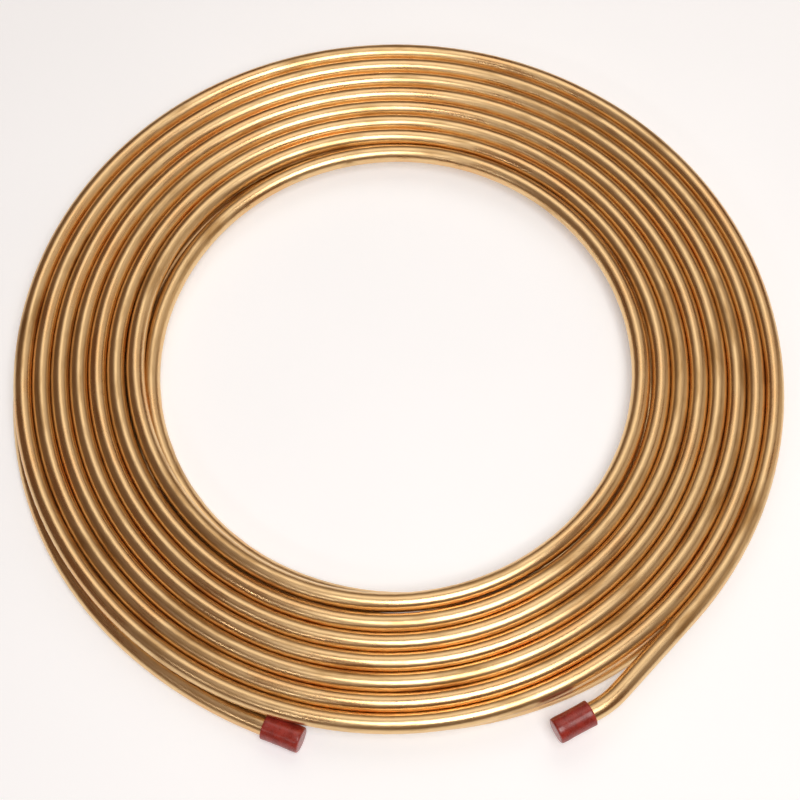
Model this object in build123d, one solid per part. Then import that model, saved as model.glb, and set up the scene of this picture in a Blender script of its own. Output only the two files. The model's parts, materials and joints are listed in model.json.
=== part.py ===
from build123d import *
import math
import os

# Immersion coil: one continuous soft copper tube wound as a flat two-layer roll, with a
# push-on vinyl cap on each end. Millimetres, +Z up. The route is worked out about the coil's
# own axis, and the finished solids are moved so that the origin is the centre of the base of
# the bounding box.

# Tube
TUBE_OD = 9.525             # 3/8 in
TUBE_WALL = 0.81
# Winding
PITCH = 9.58                # centreline spacing of neighbouring turns in one layer
LAYER_GAP = 0.03            # clear height between the two layers
OUTER_RADIUS = 196.1        # centreline of the outermost upper turn
UPPER_TURNS = 8
UPPER_LAST_RADIUS = 128.4   # innermost upper turn, a little loose of its neighbour
LOWER_FIRST_RADIUS = 123.6  # centreline where the lower layer begins
LOWER_SECOND_RADIUS = 134.5
LOWER_TURNS = 7
# Where each turn steps across to the next one, degrees about the coil's axis
UPPER_STEP = (112.0, 232.0)
CROSSOVER_START = 65.0      # the half turn that drops from the upper to the lower layer
LOWER_STEP = (CROSSOVER_START + 180, 340.0)
# Upper end: it leaves the roll straight, then bends back a little before the cap
UPPER_LEAD_ANGLE = -44.2
UPPER_LEAD_RUN = 50.0
UPPER_LEAD_BEND = (45.0, 18.6)      # radius, degrees
# Lower end: a banked curve that lifts the cap off the ground
LOWER_LEAD_ANGLE = 228.2
LOWER_LEAD_CURVE = (228.0, 19.5)
LOWER_LEAD_BANK = 7.5
STRAIGHT_END = 19.5
# Caps
CAP_CLEARANCE = 0.05        # radial, over the tube
CAP_WALL = 1.45
CAP_DEPTH = 17.2            # from the open rim to the inside of the closed end
CAP_END = 1.8               # thickness of the closed end
CAP_SLACK = 0.2             # between the tube's end and the inside of the closed end
CAP_ROUND = 1.4             # edge of the closed end
CAP_RIM = 0.35              # edge of the open rim

UP = Vector(0, 0, 1)
UPPER_Z = TUBE_OD * 1.5 + LAYER_GAP
LAYER_DROP = TUBE_OD + LAYER_GAP


def turned(vector, axis, degrees):
    """Rotate a vector about a unit axis through the origin."""
    return vector.rotate(Axis((0, 0, 0), axis), degrees)


def straight(path, place, heading, length):
    """Add a straight run and return where it ends and its heading."""
    end = place + heading * length
    path.append(Edge.make_line(place, end))
    return end, heading


def bend(path, place, heading, radius, degrees, axis=UP):
    """Add an arc that turns left about `axis` and return where it ends and its heading."""
    centre = place + axis.cross(heading) * radius
    middle = centre + turned(place - centre, axis, degrees / 2)
    end = centre + turned(place - centre, axis, degrees)
    path.append(Edge.make_three_point_arc(place, middle, end))
    return end, turned(heading, axis, degrees)


def step(path, place, heading, radius, new_radius, degrees):
    """Add two equal-angle arcs that carry a turn from one radius to the next."""
    offset = (radius - new_radius) / (2 - 2 * math.cos(math.radians(degrees / 2)))
    place, heading = bend(path, place, heading, radius - offset, degrees / 2)
    return bend(path, place, heading, new_radius + offset, degrees / 2)


def on_circle(radius, degrees, height):
    """A point on a level circle about the coil's axis and the direction of winding there."""
    angle = math.radians(degrees)
    out = Vector(math.cos(angle), math.sin(angle), 0)
    return out * radius + UP * height, UP.cross(out)


def upper_lead():
    """The upper end, drawn outward from the roll; returns its edges and its tip."""
    path = []
    place, heading = on_circle(OUTER_RADIUS, UPPER_LEAD_ANGLE, UPPER_Z)
    place, heading = straight(path, place, heading * -1, UPPER_LEAD_RUN)
    place, heading = bend(path, place, heading, *UPPER_LEAD_BEND, axis=UP * -1)
    place, heading = straight(path, place, heading, STRAIGHT_END)
    return path, place, heading


def lower_lead(place, heading):
    """The lower end, drawn onward from the last turn; returns its edges and its tip."""
    path = []
    banked = turned(UP, heading, LOWER_LEAD_BANK)
    place, heading = bend(path, place, heading, *LOWER_LEAD_CURVE, axis=banked)
    place, heading = straight(path, place, heading, STRAIGHT_END)
    return path, place, heading


def upper_layer():
    """The upper layer from its outermost turn inward, ending where the crossover starts."""
    path = []
    place, heading = on_circle(OUTER_RADIUS, UPPER_LEAD_ANGLE, UPPER_Z)
    radii = [OUTER_RADIUS - PITCH * turn for turn in range(UPPER_TURNS - 1)]
    radii.append(UPPER_LAST_RADIUS)
    start = UPPER_LEAD_ANGLE
    for radius, new_radius in zip(radii, radii[1:]):
        place, heading = bend(path, place, heading, radius, UPPER_STEP[0] - start)
        place, heading = step(path, place, heading, radius, new_radius, UPPER_STEP[1] - UPPER_STEP[0])
        start = UPPER_STEP[1] - 360
    place, heading = bend(path, place, heading, radii[-1], CROSSOVER_START - start)
    return path, place, heading


def crossover(place, heading):
    """A half turn in a tilted plane: level at both ends and one layer lower at the far one."""
    path = []
    across = UPPER_LAST_RADIUS + LOWER_FIRST_RADIUS
    tilt = math.degrees(math.atan2(LAYER_DROP, across))
    tilted = turned(UP, heading, -tilt)
    place, heading = bend(path, place, heading, math.hypot(across, LAYER_DROP) / 2, 180, axis=tilted)
    return path, place, heading


def lower_layer(place, heading):
    """The lower layer from the crossover outward, ending where the lower lead starts."""
    path = []
    radii = [LOWER_FIRST_RADIUS]
    radii += [LOWER_SECOND_RADIUS + PITCH * turn for turn in range(LOWER_TURNS)]
    sweep_angle = LOWER_STEP[1] - LOWER_STEP[0]
    for radius, new_radius in zip(radii, radii[1:]):
        place, heading = step(path, place, heading, radius, new_radius, sweep_angle)
        last = new_radius == radii[-1]
        end = LOWER_LEAD_ANGLE if last else LOWER_STEP[0]
        place, heading = bend(path, place, heading, new_radius, end + 360 - LOWER_STEP[1])
    return path, place, heading


def tube_along(path, outer_end, outer_heading):
    """The hollow tube: a ring swept along the joined edges from its first end."""
    plane = Plane(origin=outer_end, z_dir=outer_heading)
    ring = plane * (Circle(TUBE_OD / 2) - Circle(TUBE_OD / 2 - TUBE_WALL))
    return sweep(ring, path=Wire(path))


def end_cap():
    """A push-on cap along +Z: open rim at z = 0, closed rounded end above it."""
    bore = TUBE_OD / 2 + CAP_CLEARANCE
    cap = Cylinder(bore + CAP_WALL, CAP_DEPTH + CAP_END, align=(Align.CENTER, Align.CENTER, Align.MIN))
    cap -= Cylinder(bore, CAP_DEPTH, align=(Align.CENTER, Align.CENTER, Align.MIN))
    rims = cap.edges().group_by(Axis.Z)
    cap = fillet(rims[-1], CAP_ROUND)
    outer_rim = cap.edges().group_by(Axis.Z)[0].sort_by(SortBy.RADIUS)[-1]
    return fillet(outer_rim, CAP_RIM)


lead_a, tip_a, out_a = upper_lead()
layer_a, place, heading = upper_layer()
drop, place, heading = crossover(place, heading)
layer_b, place, heading = lower_layer(place, heading)
lead_b, tip_b, out_b = lower_lead(place, heading)
route = list(reversed(lead_a)) + layer_a + drop + layer_b + lead_b
tube = tube_along(route, tip_a, out_a)

cap = end_cap()
seat = CAP_DEPTH - CAP_SLACK
cap_a = Plane(origin=tip_a - out_a * seat, z_dir=out_a) * cap
cap_b = Plane(origin=tip_b - out_b * seat, z_dir=out_b) * cap

os.makedirs("parts", exist_ok=True)
everything = Compound(children=[tube, cap_a, cap_b]).bounding_box()
origin = Vector(everything.center().X, everything.center().Y, everything.min.Z)
nodes = {"copper_tube": tube, "upper_end_cap": cap_a, "lower_end_cap": cap_b}
for name, shape in nodes.items():
    solid = Pos(-origin.X, -origin.Y, -origin.Z) * shape.solids()[0]
    export_step(solid, f"parts/{name}.step")
    box = solid.bounding_box()
    print(name, "solids", len(shape.solids()), "valid", solid.is_valid, "faces", len(solid.faces()))
    print("   volume mm3", round(solid.volume, 1), "low", box.min, "high", box.max)
print("tube length m", round(sum(edge.length for edge in route) / 1000, 3))
print("coil axis", -origin)
print("upper tip", tip_a - origin, "outward", out_a)
print("lower tip", tip_b - origin, "outward", out_b)
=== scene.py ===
# %% [markdown]
# # A flat roll of soft copper tube
# Refrigeration and brewing suppliers sell annealed copper tube as a flat roll: one long tube
# wound round and round in two layers, with a push-on vinyl cap on each end to keep dirt out.
# A brewer bends such a roll into the coil that cools hot wort. The sizes are already settled
# in a CAD model, and this lesson builds the looks around it: a finely drawn, slightly handled
# copper tube, two dipped vinyl caps, and a small studio.

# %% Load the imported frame
import json
import math

import bpy
import numpy as np
from mathutils import Matrix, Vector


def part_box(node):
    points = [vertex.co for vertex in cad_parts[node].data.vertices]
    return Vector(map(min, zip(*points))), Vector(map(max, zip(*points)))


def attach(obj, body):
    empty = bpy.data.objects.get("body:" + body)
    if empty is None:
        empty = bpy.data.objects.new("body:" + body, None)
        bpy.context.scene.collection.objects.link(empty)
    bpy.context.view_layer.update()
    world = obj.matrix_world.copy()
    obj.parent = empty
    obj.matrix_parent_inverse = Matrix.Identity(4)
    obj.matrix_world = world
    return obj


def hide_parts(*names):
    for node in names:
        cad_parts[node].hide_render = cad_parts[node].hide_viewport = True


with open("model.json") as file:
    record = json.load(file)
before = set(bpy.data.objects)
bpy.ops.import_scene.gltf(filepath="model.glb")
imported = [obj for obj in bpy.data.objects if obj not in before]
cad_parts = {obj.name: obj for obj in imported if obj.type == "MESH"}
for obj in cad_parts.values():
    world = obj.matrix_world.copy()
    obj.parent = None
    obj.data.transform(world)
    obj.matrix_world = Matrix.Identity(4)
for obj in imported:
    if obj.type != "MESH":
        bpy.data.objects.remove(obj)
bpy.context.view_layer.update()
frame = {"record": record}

record = frame["record"]

# %% [markdown]
# ## Tools for the whole lesson
# The CAD frame is in metres, but a tube maker thinks in millimetres, so lengths below are in
# millimetres and turn to metres at the last moment. Colours are picked as web hex values,
# which are sRGB, and Blender's shaders want linear light, so one function converts them. One
# more function adds a node, sets it up and links it, so each material reads from top to bottom.

# %% Units, colours and nodes
MM = 0.001
UP = np.array([0.0, 0.0, 1.0])


def linear(hex_colour, alpha=1.0):
    """An sRGB hex colour as linear light: below 0.04045 divide by 12.92, else a 2.4 power."""
    srgb = np.array([int(hex_colour[i:i + 2], 16) for i in (1, 3, 5)]) / 255
    light = np.where(srgb <= 0.04045, srgb / 12.92, ((srgb + 0.055) / 1.055) ** 2.4)
    return (*light.tolist(), alpha)


def add(tree, kind, inputs=None, **settings):
    """Add one node. `settings` are its properties; `inputs` are values or sockets to link."""
    node = tree.nodes.new(kind)
    for name, value in settings.items():
        setattr(node, name, value)
    for name, value in (inputs or {}).items():
        if isinstance(value, bpy.types.NodeSocket):
            tree.links.new(value, node.inputs[name])
        else:
            node.inputs[name].default_value = value
    return node


def placed(columns, place):
    """The matrix whose x, y and z axes are `columns` and whose origin is `place`."""
    rows = np.column_stack([np.column_stack(columns), place]).tolist()
    return Matrix([*rows, [0, 0, 0, 1]])


def new_material(name):
    """An empty material with its output node, ready for `add`."""
    material = bpy.data.materials.new(name)
    material.use_nodes = True
    material.node_tree.nodes.clear()
    return material, material.node_tree


# %% Turn grids of points into pieces
def piece_from(name, points, faces, material):
    """A smooth-shaded object from an (n, 3) array in metres and a list of faces."""
    mesh = bpy.data.meshes.new(name)
    mesh.from_pydata(points.tolist(), [], faces)
    mesh.polygons.foreach_set("use_smooth", np.ones(len(mesh.polygons), bool))
    mesh.materials.append(material)
    mesh.update()
    piece = bpy.data.objects.new(name, mesh)
    bpy.context.scene.collection.objects.link(piece)
    return piece


def grid_faces(rows, columns, wrap_rows):
    """Four-sided faces of a grid whose columns close into rings, and whose rows may too."""
    row = np.arange(rows if wrap_rows else rows - 1)[:, None]
    column = np.arange(columns)[None, :]
    next_row = (row + 1) % rows
    next_column = (column + 1) % columns
    corners = [row * columns + column, next_row * columns + column,
               next_row * columns + next_column, row * columns + next_column]
    return np.stack(corners, axis=-1).reshape(-1, 4)


# %% [markdown]
# ## The camera
# A flat roll lies on the ground, so the camera looks down on it steeply enough to see every
# turn, and from near enough that the near side looks a little larger than the far side. The
# camera is placed by its direction from an aim point on the coil, then rolled slightly.

# %% Place the camera
CAMERA_AZIMUTH = 1.53           # degrees; 0 looks along +Y
CAMERA_ELEVATION = 65.48
CAMERA_ROLL = 2.17
CAMERA_DISTANCE = 762.0 * MM
CAMERA_LENS = 66.83             # on a 36 mm sensor
AIM_FROM_AXIS = np.array([4.42, -19.43, 9.54]) * MM
COIL_AXIS = np.array([-2.06, -1.559, 0.0]) * MM

azimuth, elevation, roll = np.radians([CAMERA_AZIMUTH, CAMERA_ELEVATION, CAMERA_ROLL])
back = np.array([math.sin(azimuth) * math.cos(elevation),
                 -math.cos(azimuth) * math.cos(elevation), math.sin(elevation)])
level = np.array([math.cos(azimuth), math.sin(azimuth), 0.0])
steep = np.cross(back, level)
right = math.cos(roll) * level - math.sin(roll) * steep
upward = math.sin(roll) * level + math.cos(roll) * steep
camera_data = bpy.data.cameras.new("studio_camera")
camera_data.lens = CAMERA_LENS
camera_data.sensor_width = 36.0
camera_data.clip_start = 0.01
camera = bpy.data.objects.new("studio_camera", camera_data)
bpy.context.scene.collection.objects.link(camera)
camera_place = COIL_AXIS + AIM_FROM_AXIS + back * CAMERA_DISTANCE
camera.matrix_world = placed([right, upward, back], camera_place)
bpy.context.scene.camera = camera
print("camera at, m:", camera_place.round(3))

# %% [markdown]
# ## The route of the tube
# Every bend in a wound roll is part of a circle, because the tube is laid against the turn
# before it. So the route is walked, like a turtle drawing: go straight, or bend left about an
# axis with a radius. Each turn is a plain circle for most of its way and then steps across to
# the next radius over two shallow arcs. The inner end of the upper layer swings down through
# a half turn in a tilted plane and becomes the lower layer, which winds outward again. A
# spline through a few points would be shorter to write, but it would not stay round.

# %% Walk a line of straight runs and arcs
RING_SPACING = 8.0              # mm from one ring of the mesh to the next
RING_TURN = 4.0                 # and never more than this many degrees


def turned(vector, axis, degrees):
    """Rotate a vector about a unit axis: v cos a + (axis x v) sin a + axis (axis . v)(1 - cos a)."""
    angle = np.radians(np.atleast_1d(degrees))[:, None]
    along = axis * np.dot(axis, vector)
    return (vector * np.cos(angle) + np.cross(axis, vector) * np.sin(angle)
            + along * (1 - np.cos(angle)))


class Walk:
    """A line drawn by walking, kept as rows of points and of unit headings."""

    def __init__(self, place, heading):
        self.points = np.array([place])
        self.headings = np.array([heading])

    def _go(self, points, headings):
        self.points = np.vstack([self.points, points])
        self.headings = np.vstack([self.headings, headings])

    def straight(self, length):
        """Add a straight run: start + heading x distance."""
        far = np.linspace(0, length, math.ceil(length / RING_SPACING) + 1)[1:, None]
        heading = self.headings[-1]
        self._go(self.points[-1] + heading * far, np.repeat(heading[None], len(far), axis=0))

    def bend(self, radius, degrees, axis=UP):
        """Add an arc to the left about `axis`: the start point turned about the arc's centre."""
        rings = math.ceil(max(radius * math.radians(degrees) / RING_SPACING, degrees / RING_TURN))
        sweep = np.linspace(0, degrees, rings + 1)[1:]
        heading = self.headings[-1]
        centre = self.points[-1] + np.cross(axis, heading) * radius
        self._go(centre + turned(self.points[-1] - centre, axis, sweep), turned(heading, axis, sweep))

    def step(self, radius, new_radius, degrees):
        """Add two arcs of equal angle that carry a turn from one radius to the next."""
        offset = (radius - new_radius) / (2 - 2 * math.cos(math.radians(degrees / 2)))
        self.bend(radius - offset, degrees / 2)
        self.bend(new_radius + offset, degrees / 2)


# %% The roll's own dimensions, mm and degrees
TUBE_OD = 9.525
TUBE_WALL = 0.81
PITCH = 9.58
LAYER_GAP = 0.03
OUTER_RADIUS = 196.1
UPPER_TURNS = 8
UPPER_LAST_RADIUS = 128.4
LOWER_FIRST_RADIUS = 123.6
LOWER_SECOND_RADIUS = 134.5
LOWER_TURNS = 7
UPPER_STEP = (112.0, 232.0)
CROSSOVER_START = 65.0
LOWER_STEP = (CROSSOVER_START + 180, 340.0)
UPPER_LEAD_ANGLE = -44.2
UPPER_LEAD_RUN = 50.0
UPPER_LEAD_BEND = (45.0, 18.6)
LOWER_LEAD_ANGLE = 228.2
LOWER_LEAD_CURVE = (228.0, 19.5)
LOWER_LEAD_BANK = 7.5
STRAIGHT_END = 19.5
UPPER_Z = TUBE_OD * 1.5 + LAYER_GAP


def walk_the_roll():
    """The whole centreline from the upper tip to the lower tip, about the coil's axis."""
    lead = math.radians(UPPER_LEAD_ANGLE)
    out = np.array([math.cos(lead), math.sin(lead), 0.0])
    start = out * OUTER_RADIUS + UP * UPPER_Z
    winding = np.cross(UP, out)

    upper_end = Walk(start, -winding)
    upper_end.straight(UPPER_LEAD_RUN)
    upper_end.bend(*UPPER_LEAD_BEND, axis=-UP)
    upper_end.straight(STRAIGHT_END)

    roll_up = Walk(start, winding)
    radii = [OUTER_RADIUS - PITCH * turn for turn in range(UPPER_TURNS - 1)] + [UPPER_LAST_RADIUS]
    angle = UPPER_LEAD_ANGLE
    for radius, new_radius in zip(radii, radii[1:]):
        roll_up.bend(radius, UPPER_STEP[0] - angle)
        roll_up.step(radius, new_radius, UPPER_STEP[1] - UPPER_STEP[0])
        angle = UPPER_STEP[1] - 360
    roll_up.bend(radii[-1], CROSSOVER_START - angle)

    across = UPPER_LAST_RADIUS + LOWER_FIRST_RADIUS
    drop = TUBE_OD + LAYER_GAP
    tilt = math.degrees(math.atan2(drop, across))
    roll_up.bend(math.hypot(across, drop) / 2, 180, axis=turned(UP, roll_up.headings[-1], -tilt)[0])

    radii = [LOWER_FIRST_RADIUS] + [LOWER_SECOND_RADIUS + PITCH * turn for turn in range(LOWER_TURNS)]
    for turn, (radius, new_radius) in enumerate(zip(radii, radii[1:])):
        roll_up.step(radius, new_radius, LOWER_STEP[1] - LOWER_STEP[0])
        end = LOWER_LEAD_ANGLE if turn == LOWER_TURNS - 1 else LOWER_STEP[0]
        roll_up.bend(new_radius, end + 360 - LOWER_STEP[1])
    banked = turned(UP, roll_up.headings[-1], LOWER_LEAD_BANK)[0]
    roll_up.bend(*LOWER_LEAD_CURVE, axis=banked)
    roll_up.straight(STRAIGHT_END)

    points = np.vstack([upper_end.points[:0:-1], roll_up.points])
    headings = np.vstack([-upper_end.headings[:0:-1], roll_up.headings])
    return points, headings


centreline, headings = walk_the_roll()
travel = np.concatenate([[0], np.cumsum(np.linalg.norm(np.diff(centreline, axis=0), axis=1))])
print("tube length, m:", round(travel[-1] * MM, 3), "rings:", len(travel))

# %% [markdown]
# ## The copper tube
# Tube is drawn through a die, so it has one round section all along, and the mesh is that
# section carried along the route. The wall is real: the surface runs down the outside, over
# the cut lip at one end, back along the bore and over the other lip, and closes on itself, so
# the ends look right when their caps are off. A hand-wound roll is never perfect, so the upper
# turns ride up and down by about a tenth of a millimetre. That is too little to see as
# shape, but a bright tube shows it as a gentle waver in its reflections.

# %% Let the upper turns waver a little
rng = np.random.default_rng(7)


def slow_noise(at, wavelength, rng):
    """Smooth noise from -1 to 1: random values one wavelength apart, joined by a cosine ease."""
    knots = rng.uniform(-1, 1, int(at[-1] / wavelength) + 3)
    position = at / wavelength
    left = position.astype(int)
    ease = (1 - np.cos(np.pi * (position - left))) / 2
    return knots[left] * (1 - ease) + knots[left + 1] * ease


WAVER_HEIGHT = 0.16             # mm, all told
LONG_WAVE = 90.0                # mm along the tube
SHORT_WAVE = 34.0
WAVER_START = 60.0              # mm over which the waver grows from the tip
in_upper = np.clip(centreline[:, 2] - (UPPER_Z - 1), 0, 1)
long_waves = slow_noise(travel, LONG_WAVE, rng)
short_waves = slow_noise(travel, SHORT_WAVE, rng)
waver = WAVER_HEIGHT * (0.5 + 0.35 * long_waves + 0.15 * short_waves)
centreline[:, 2] += waver * in_upper * np.clip(travel / WAVER_START, 0, 1)
print("upper turns waver by up to", round(float(waver.max()), 3), "mm")


# %% Carry the section along the route
SIDES = 32
BORE_STEP = 4                   # the bore takes every fourth ring
LIP_POINTS = 5                  # along each rounded edge of the cut end
LIP_OUTSIDE = 0.30              # radius of the cut edge outside and in the bore, mm
LIP_INSIDE = 0.15


def lip_profile(outer, bore):
    """The cut end as (distance past the end, radius): a quarter round, a flat, a quarter round."""
    quarter = np.radians(np.linspace(0, 90, LIP_POINTS))
    outside = np.stack([LIP_OUTSIDE * (np.sin(quarter) - 1),
                        outer - LIP_OUTSIDE * (1 - np.cos(quarter))], axis=1)
    inside = np.stack([LIP_INSIDE * (np.cos(quarter) - 1),
                       bore + LIP_INSIDE * (1 - np.sin(quarter))], axis=1)
    return np.vstack([outside, inside])


def tube_grid(points, headings, travel):
    """Rings of points: centre + radius (side cos a + up sin a), out along the tube and back.

    Side is level and across the heading; up is square to both. Returns the (rings, SIDES, 3)
    points and, for each, the tube's own coordinates: distance along it, and the section's
    two, so that a pattern can follow the tube without a seam.
    """
    outer = TUBE_OD / 2
    bore = outer - TUBE_WALL
    lip = lip_profile(outer, bore)
    last = len(points) - 1
    walls = np.arange(1, last)
    back = walls[::-BORE_STEP]
    index = np.concatenate([walls, np.full(len(lip), last), back, np.zeros(len(lip), int)])
    past = np.concatenate([np.zeros(len(walls)), lip[:, 0], np.zeros(len(back)), -lip[::-1, 0]])
    radius = np.concatenate([np.full(len(walls), outer), lip[:, 1],
                             np.full(len(back), bore), lip[::-1, 1]])
    heading = headings[index]
    side = np.cross(heading, UP)
    side /= np.linalg.norm(side, axis=1)[:, None]
    up = np.cross(side, heading)
    centre = points[index] + heading * past[:, None]
    angle = np.linspace(0, 2 * np.pi, SIDES, endpoint=False)
    ring = side[:, None] * np.cos(angle)[None, :, None] + up[:, None] * np.sin(angle)[None, :, None]
    grid = centre[:, None] + radius[:, None, None] * ring
    along = np.repeat((travel[index] + past)[:, None], SIDES, axis=1)
    own = np.stack([along, radius[:, None] * np.cos(angle), radius[:, None] * np.sin(angle)], axis=-1)
    return grid, own


# %% [markdown]
# ## Bright drawn copper
# The finish is soft-annealed, cold-drawn copper. Drawing leaves very fine lines along the
# tube, which blur its reflections a little and only a little; annealing and handling leave
# faint warmer and duller patches a few centimetres long. All of it follows the tube, so the
# material reads the tube's own coordinates, an attribute on the mesh, and stretches its noise
# along the first of them. Pure copper's own reflection is a pale orange; between turns the
# light bounces two and three times and comes out a deep red-brown by itself.

# %% Copper
COPPER = "#F1CE99"
COPPER_WARM = "#E8B880"
COPPER_DULL = "#C09660"


def drawn_copper():
    """Metal whose colour, roughness and fine relief follow the tube's own coordinates, in mm."""
    material, tree = new_material("copper_drawn_annealed")
    own = add(tree, "ShaderNodeAttribute", attribute_name="tube_mm").outputs["Vector"]
    # Drawing lines are a few hundredths of a millimetre apart; they are made 0.8 mm apart
    # here, with finer ones between, as fine as they can be and still show, and 60 mm long.
    line_place = add(tree, "ShaderNodeMapping", {"Vector": own, "Scale": (1 / 60, 1 / 0.8, 1 / 0.8)})
    lines = add(tree, "ShaderNodeTexNoise", {"Vector": line_place.outputs[0], "Scale": 1.0,
                                             "Detail": 3.0, "Roughness": 0.6}).outputs["Fac"]
    # Annealing and handling patches: 45 mm along the tube and 9 mm across it
    patch_place = add(tree, "ShaderNodeMapping", {"Vector": own, "Scale": (1 / 45, 1 / 9, 1 / 9)})
    patches = add(tree, "ShaderNodeTexNoise", {"Vector": patch_place.outputs[0], "Scale": 1.0,
                                               "Detail": 4.0, "Roughness": 0.55}).outputs["Fac"]
    # Shallow handling dents, 14 mm long and 7 mm across
    wide_place = add(tree, "ShaderNodeMapping", {"Vector": own, "Scale": (1 / 14, 1 / 7, 1 / 7)})
    dents = add(tree, "ShaderNodeTexNoise", {"Vector": wide_place.outputs[0], "Scale": 1.0,
                                             "Detail": 1.5, "Roughness": 0.4}).outputs["Fac"]
    clean = add(tree, "ShaderNodeMapRange", {"Value": patches, "From Min": 0.30, "From Max": 0.50})
    dulled = add(tree, "ShaderNodeMapRange", {"Value": patches, "From Min": 0.54, "From Max": 0.72})
    fine = add(tree, "ShaderNodeMapRange", {"Value": lines, "From Min": 0.30, "From Max": 0.65,
                                            "To Min": 0.88, "To Max": 1.0})
    bright = add(tree, "ShaderNodeMix", {"Factor": clean.outputs[0], "A": linear(COPPER_WARM),
                                         "B": linear(COPPER)}, data_type="RGBA")
    worn = add(tree, "ShaderNodeMix", {"Factor": dulled.outputs[0], "A": bright.outputs["Result"],
                                       "B": linear(COPPER_DULL)}, data_type="RGBA")
    tint = add(tree, "ShaderNodeMix", {"Factor": 1.0, "A": worn.outputs["Result"],
                                       "B": fine.outputs[0]}, data_type="RGBA", blend_type="MULTIPLY")
    gloss = add(tree, "ShaderNodeMapRange", {"Value": patches, "From Min": 0.35, "From Max": 0.75,
                                             "To Min": 0.20, "To Max": 0.33})
    rough = add(tree, "ShaderNodeMath", {0: lines, 1: 0.10, 2: gloss.outputs[0]},
                operation="MULTIPLY_ADD")
    soft = add(tree, "ShaderNodeBump", {"Height": dents, "Strength": 0.35, "Distance": 0.2 * MM})
    relief = add(tree, "ShaderNodeBump", {"Height": lines, "Strength": 0.25, "Distance": 0.01 * MM,
                                          "Normal": soft.outputs[0]})
    metal = add(tree, "ShaderNodeBsdfPrincipled", {"Base Color": tint.outputs["Result"],
                                                   "Metallic": 1.0, "Roughness": rough.outputs[0],
                                                   "Normal": relief.outputs[0]})
    add(tree, "ShaderNodeOutputMaterial", {"Surface": metal.outputs[0]})
    return material


# %% Build the tube where the CAD tube lies
grid, own = tube_grid(centreline, headings, travel)
cad_low, cad_high = [np.array(corner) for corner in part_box("copper_tube")]
middle = (cad_low + cad_high) / 2
made_middle = (grid.min(axis=(0, 1)) + grid.max(axis=(0, 1))) / 2 * MM
shift = np.array([middle[0] - made_middle[0], middle[1] - made_middle[1], 0.0])
points = grid.reshape(-1, 3) * MM + shift
faces = grid_faces(*grid.shape[:2], wrap_rows=True)
tube = piece_from("copper_tube_roll", points, faces.tolist(), drawn_copper())
attribute = tube.data.attributes.new("tube_mm", "FLOAT_VECTOR", "POINT")
attribute.data.foreach_set("vector", own.reshape(-1).astype(np.float32))
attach(tube, "coil")
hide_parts("copper_tube")
print("tube triangles:", 2 * len(faces), "moved by, mm:", (shift / MM).round(3))

# %% [markdown]
# ## The vinyl caps
# A dipped cap is made by dipping a hot steel pin in liquid vinyl and stripping off the skin.
# So it has an even wall, a softly rounded closed end that sags into a shallow dome, and a
# plain cut rim. On the tube it stretches: it is tightest over the tube's cut end and relaxes
# towards the rim. The shape is a profile turned about the cap's axis.

# %% Turn a profile about an axis
CAP_SIDES = 64
CAP_DEPTH = 17.2
CAP_END = 1.8
CAP_WALL = 1.45
CAP_SLACK = 0.2
CAP_BORE = TUBE_OD / 2 + 0.05
CAP_ROUND = 1.0                 # edge of the closed end
CAP_RIM = 0.35                  # edge of the open rim
CAP_MOUTH = 0.2                 # edge of the bore at the rim
CAP_CORNER = 0.5                # inside corner of the closed end
CAP_SAG = 0.12                  # how far the closed end's edge lies below its middle
CAP_STRETCH = 0.10              # swelling over the tube's cut end
CAP_BEAD = 0.09                 # swelling near the rim
CAP_WAIST = 0.05                # narrowing half way


def corner(middle, radius, start, stop, points=7):
    """Points on an arc of a profile: middle + radius (cos a, sin a), angles in degrees."""
    angle = np.radians(np.linspace(start, stop, points))
    return middle + radius * np.stack([np.cos(angle), np.sin(angle)], axis=1)


def cap_profile():
    """The cap's section as (radius, height): outside from the closed pole, rim, bore to pole.

    The outside is a straight wall plus two bell-shaped swellings, w exp(-((h - h0) / s)^2),
    less half a sine wave for the waist.
    """
    outer = CAP_BORE + CAP_WALL
    top = CAP_DEPTH + CAP_END
    dome_radius = np.linspace(0, outer - CAP_ROUND, 8)[:-1]
    dome = np.stack([dome_radius, top - CAP_SAG * (dome_radius / outer) ** 2], axis=1)
    shoulder = corner(np.array([outer - CAP_ROUND, top - CAP_SAG - CAP_ROUND]), CAP_ROUND, 90, 0)
    height = np.linspace(top - 2.6, 1.0, 22)
    over_end = CAP_STRETCH * np.exp(-((height - CAP_DEPTH + 1.6) / 1.6) ** 2)
    near_rim = CAP_BEAD * np.exp(-((height - 0.9) / 1.3) ** 2)
    waist = -CAP_WAIST * np.sin(np.pi * height / CAP_DEPTH)
    wall = np.stack([outer + over_end + near_rim + waist, height], axis=1)
    rim = corner(np.array([outer + 0.08 - CAP_RIM, CAP_RIM]), CAP_RIM, 0, -90)
    mouth = corner(np.array([CAP_BORE + CAP_MOUTH, CAP_MOUTH]), CAP_MOUTH, -90, -180)
    bore = np.stack([np.full(9, CAP_BORE), np.linspace(1.5, CAP_DEPTH - 0.6, 9)], axis=1)
    inner = corner(np.array([CAP_BORE - CAP_CORNER, CAP_DEPTH - CAP_CORNER]), CAP_CORNER, 0, 90, 4)
    pole = np.array([[CAP_BORE / 2, CAP_DEPTH], [0, CAP_DEPTH]])
    return np.vstack([dome, shoulder, wall, rim, mouth, bore, inner, pole])


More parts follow.
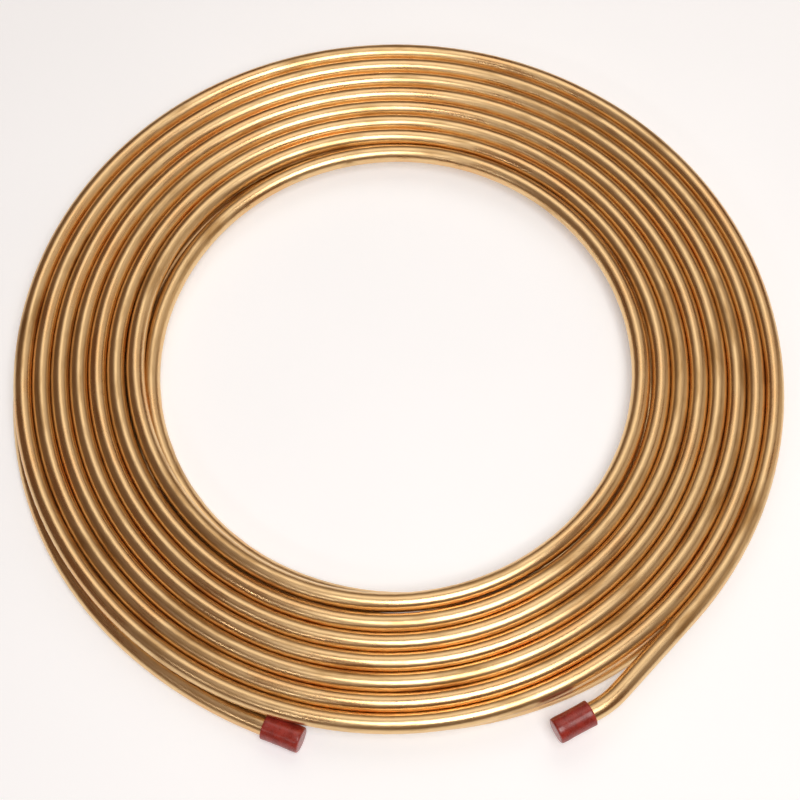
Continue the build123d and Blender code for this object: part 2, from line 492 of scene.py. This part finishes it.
def lathe(name, profile, foot, axis, material):
    """Turn (radius, height) about `axis` from `foot`: foot + axis h + r (side cos a + across sin a).

    The first and last points of the profile are single points on the axis, closed by fans.
    """
    side = np.cross(axis, UP)
    side /= np.linalg.norm(side)
    across = np.cross(axis, side)
    angle = np.linspace(0, 2 * np.pi, CAP_SIDES, endpoint=False)
    around = side * np.cos(angle)[:, None] + across * np.sin(angle)[:, None]
    rings = profile[1:-1]
    grid = foot + rings[:, None, 1:] * axis + rings[:, None, :1] * around
    poles = foot + profile[[0, -1], 1][:, None] * axis
    points = np.vstack([grid.reshape(-1, 3), poles])
    column = np.arange(CAP_SIDES)
    after = (column + 1) % CAP_SIDES
    low = (len(rings) - 1) * CAP_SIDES
    first = np.stack([column, after, np.full(CAP_SIDES, grid.size // 3)], axis=1)
    last = np.stack([low + after, low + column, np.full(CAP_SIDES, grid.size // 3 + 1)], axis=1)
    faces = grid_faces(len(rings), CAP_SIDES, wrap_rows=False)
    return piece_from(name, points * MM, faces.tolist() + first.tolist() + last.tolist(), material)


# %% [markdown]
# ## Dipped red vinyl
# Dip-moulded PVC is a soft plastic with a satin skin: a coloured body with a clear, slightly
# rough surface on top. Up close the skin has a shallow orange-peel texture from the liquid
# flowing as it set, and handling leaves paler scuffs and a film of dust. The patterns read
# Object coordinates, so they stay with the cap when it is pulled off.

# %% Vinyl
VINYL = "#A8372B"
VINYL_DEEP = "#8B2A21"
VINYL_SCUFF = "#BC6B5C"


def dipped_vinyl():
    """Satin red plastic: mottled colour, pale scuffs, and a shallow orange-peel relief."""
    material, tree = new_material("vinyl_dipped_red")
    place = add(tree, "ShaderNodeTexCoord").outputs["Object"]
    # 3.5 mm mottling, 0.7 mm orange peel, and scuffs about 2 mm long
    mottle = add(tree, "ShaderNodeTexNoise", {"Vector": place, "Scale": 1 / (3.5 * MM),
                                              "Detail": 4.0}).outputs["Fac"]
    peel = add(tree, "ShaderNodeTexNoise", {"Vector": place, "Scale": 1 / (0.7 * MM),
                                            "Detail": 2.0}).outputs["Fac"]
    scuffs = add(tree, "ShaderNodeTexNoise", {"Vector": place, "Scale": 1 / (1.1 * MM),
                                              "Detail": 6.0, "Roughness": 0.75,
                                              "Distortion": 1.5}).outputs["Fac"]
    even = add(tree, "ShaderNodeMapRange", {"Value": mottle, "From Min": 0.35, "From Max": 0.65})
    body = add(tree, "ShaderNodeMix", {"Factor": even.outputs[0], "A": linear(VINYL_DEEP),
                                       "B": linear(VINYL)}, data_type="RGBA")
    worn = add(tree, "ShaderNodeMapRange", {"Value": scuffs, "From Min": 0.58, "From Max": 0.76,
                                            "To Min": 0.0, "To Max": 0.55})
    colour = add(tree, "ShaderNodeMix", {"Factor": worn.outputs[0], "A": body.outputs["Result"],
                                         "B": linear(VINYL_SCUFF)}, data_type="RGBA")
    rough = add(tree, "ShaderNodeMapRange", {"Value": scuffs, "From Min": 0.35, "From Max": 0.75,
                                             "To Min": 0.22, "To Max": 0.40})
    relief = add(tree, "ShaderNodeBump", {"Height": peel, "Strength": 0.3, "Distance": 0.04 * MM})
    plastic = add(tree, "ShaderNodeBsdfPrincipled", {"Base Color": colour.outputs["Result"],
                                                     "Roughness": rough.outputs[0], "IOR": 1.53,
                                                     "Normal": relief.outputs[0]})
    add(tree, "ShaderNodeOutputMaterial", {"Surface": plastic.outputs[0]})
    return material


# %% Put a cap on each end
vinyl = dipped_vinyl()
mounts = {mount["name"]: mount for mount in record["mounts"]}
for end in ("upper", "lower"):
    mount = mounts[f"{end}_tube_end"]
    outward = np.array(mount["axis"]) / np.linalg.norm(mount["axis"])
    foot = np.array(mount["pos_m"]) / MM - outward * (CAP_DEPTH - CAP_SLACK)
    cap = lathe(f"{end}_vinyl_cap", cap_profile(), foot, outward, vinyl)
    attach(cap, f"{end}_cap")
    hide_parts(f"{end}_end_cap")
    print(end, "cap faces:", len(cap.data.polygons))

# %% [markdown]
# ## The floor and the light
# Bright metal is a mirror: what it shows is the room. So the studio is built for its
# reflections. A small strong softbox hangs overhead and a little to the front, and gives the
# near and far sides of the roll their white highlights. Behind it are two weaker panels, one
# on top of the other as the metal sees them: a narrow one draws the pale line along the crest
# of the turns at the left and right, and a wide one close above spreads tan around it. A
# panel at the right lights the leads, two small lamps behind add glints, and the rest of the
# room is a dim warm brown, so the sides of each turn fall off into brown. The floor is plain
# pale board with a little light of its own, like a translucent table lit from below. Near the
# horizon the room turns pale, so that a low view sees no dark wall behind the floor.

# %% Floor
def pale_board():
    """Matt off-white board with faint, wide unevenness."""
    material, tree = new_material("floor_pale_board")
    place = add(tree, "ShaderNodeTexCoord").outputs["Object"]
    # Unevenness about 170 mm wide
    cloud = add(tree, "ShaderNodeTexNoise", {"Vector": place, "Scale": 6.0,
                                             "Detail": 3.0}).outputs["Fac"]
    colour = add(tree, "ShaderNodeMix", {"Factor": cloud, "A": linear("#F5F5F5"),
                                         "B": linear("#FDFDFD")}, data_type="RGBA")
    board = add(tree, "ShaderNodeBsdfPrincipled", {"Base Color": colour.outputs["Result"],
                                                   "Roughness": 0.85,
                                                   "Emission Color": linear("#F2F9FF"),
                                                   "Emission Strength": 0.29})
    add(tree, "ShaderNodeOutputMaterial", {"Surface": board.outputs[0]})
    return material


FLOOR_HALF = 6.0                # metres
FLOOR_DROP = 0.05 * MM          # clear of the tube, so that no two faces share a plane
corners = np.array([[-1, -1, 0], [1, -1, 0], [1, 1, 0], [-1, 1, 0]]) * FLOOR_HALF
corners[:, 2] = -FLOOR_DROP
floor = piece_from("floor", corners, [[0, 1, 2, 3]], pale_board())


# %% Lights
def softbox(name, azimuth, elevation, distance, width, height, radiance, colour):
    """A rectangular light that faces the coil, placed by direction and given its brightness.

    Azimuth is in degrees from +X towards +Y, and lengths are in metres. The power of a
    one-sided rectangle is its radiance times pi times its area.
    """
    angle, tilt = np.radians([azimuth, elevation])
    away = np.array([math.cos(angle) * math.cos(tilt), math.sin(angle) * math.cos(tilt), math.sin(tilt)])
    data = bpy.data.lights.new(name, "AREA")
    data.shape = "RECTANGLE"
    data.size = width
    data.size_y = height
    data.energy = radiance * math.pi * width * height
    data.color = linear(colour)[:3]
    light = bpy.data.objects.new(name, data)
    across = np.cross(UP, away)
    across /= np.linalg.norm(across)
    light.matrix_world = placed([across, np.cross(away, across), away], away * distance)
    light.visible_camera = False
    bpy.context.scene.collection.objects.link(light)
    print(name, "power, W:", round(data.energy, 2))


softbox("key_softbox", -68.0, 67.0, 1.3, 0.52, 0.72, 7.0, "#FFFFFF")
softbox("crest_panel", 88.0, 62.0, 2.0, 0.75, 1.1, 0.85, "#FFFDF8")
softbox("ceiling_panel", 72.0, 58.0, 0.72, 0.95, 0.62, 0.50, "#FFFCF6")
softbox("right_panel", 0.0, 24.0, 2.0, 1.6, 1.2, 0.45, "#FFF6E6")
softbox("back_lamp_a", 226.0, 38.0, 1.6, 0.06, 0.06, 40.0, "#FFFFFF")
softbox("back_lamp_b", 245.0, 38.0, 1.6, 0.10, 0.05, 40.0, "#FFFFFF")

# %% The room
ROOM_BROWN = "#6B5241"
ROOM_HORIZON = "#A89F9C"

world = bpy.data.worlds.new("studio")
world.use_nodes = True
room = world.node_tree
room.nodes.clear()
direction = add(room, "ShaderNodeTexCoord").outputs["Generated"]
height = add(room, "ShaderNodeSeparateXYZ", {"Vector": direction}).outputs["Z"]
rise = add(room, "ShaderNodeMapRange", {"Value": height, "From Min": 0.0, "From Max": 0.16})
haze = add(room, "ShaderNodeMix", {"Factor": rise.outputs[0], "A": linear(ROOM_HORIZON),
                                   "B": linear(ROOM_BROWN)}, data_type="RGBA")
glow = add(room, "ShaderNodeBackground", {"Color": haze.outputs["Result"]})
add(room, "ShaderNodeOutputWorld", {"Surface": glow.outputs[0]})
bpy.context.scene.world = world
bpy.context.scene.view_settings.view_transform = "Standard"
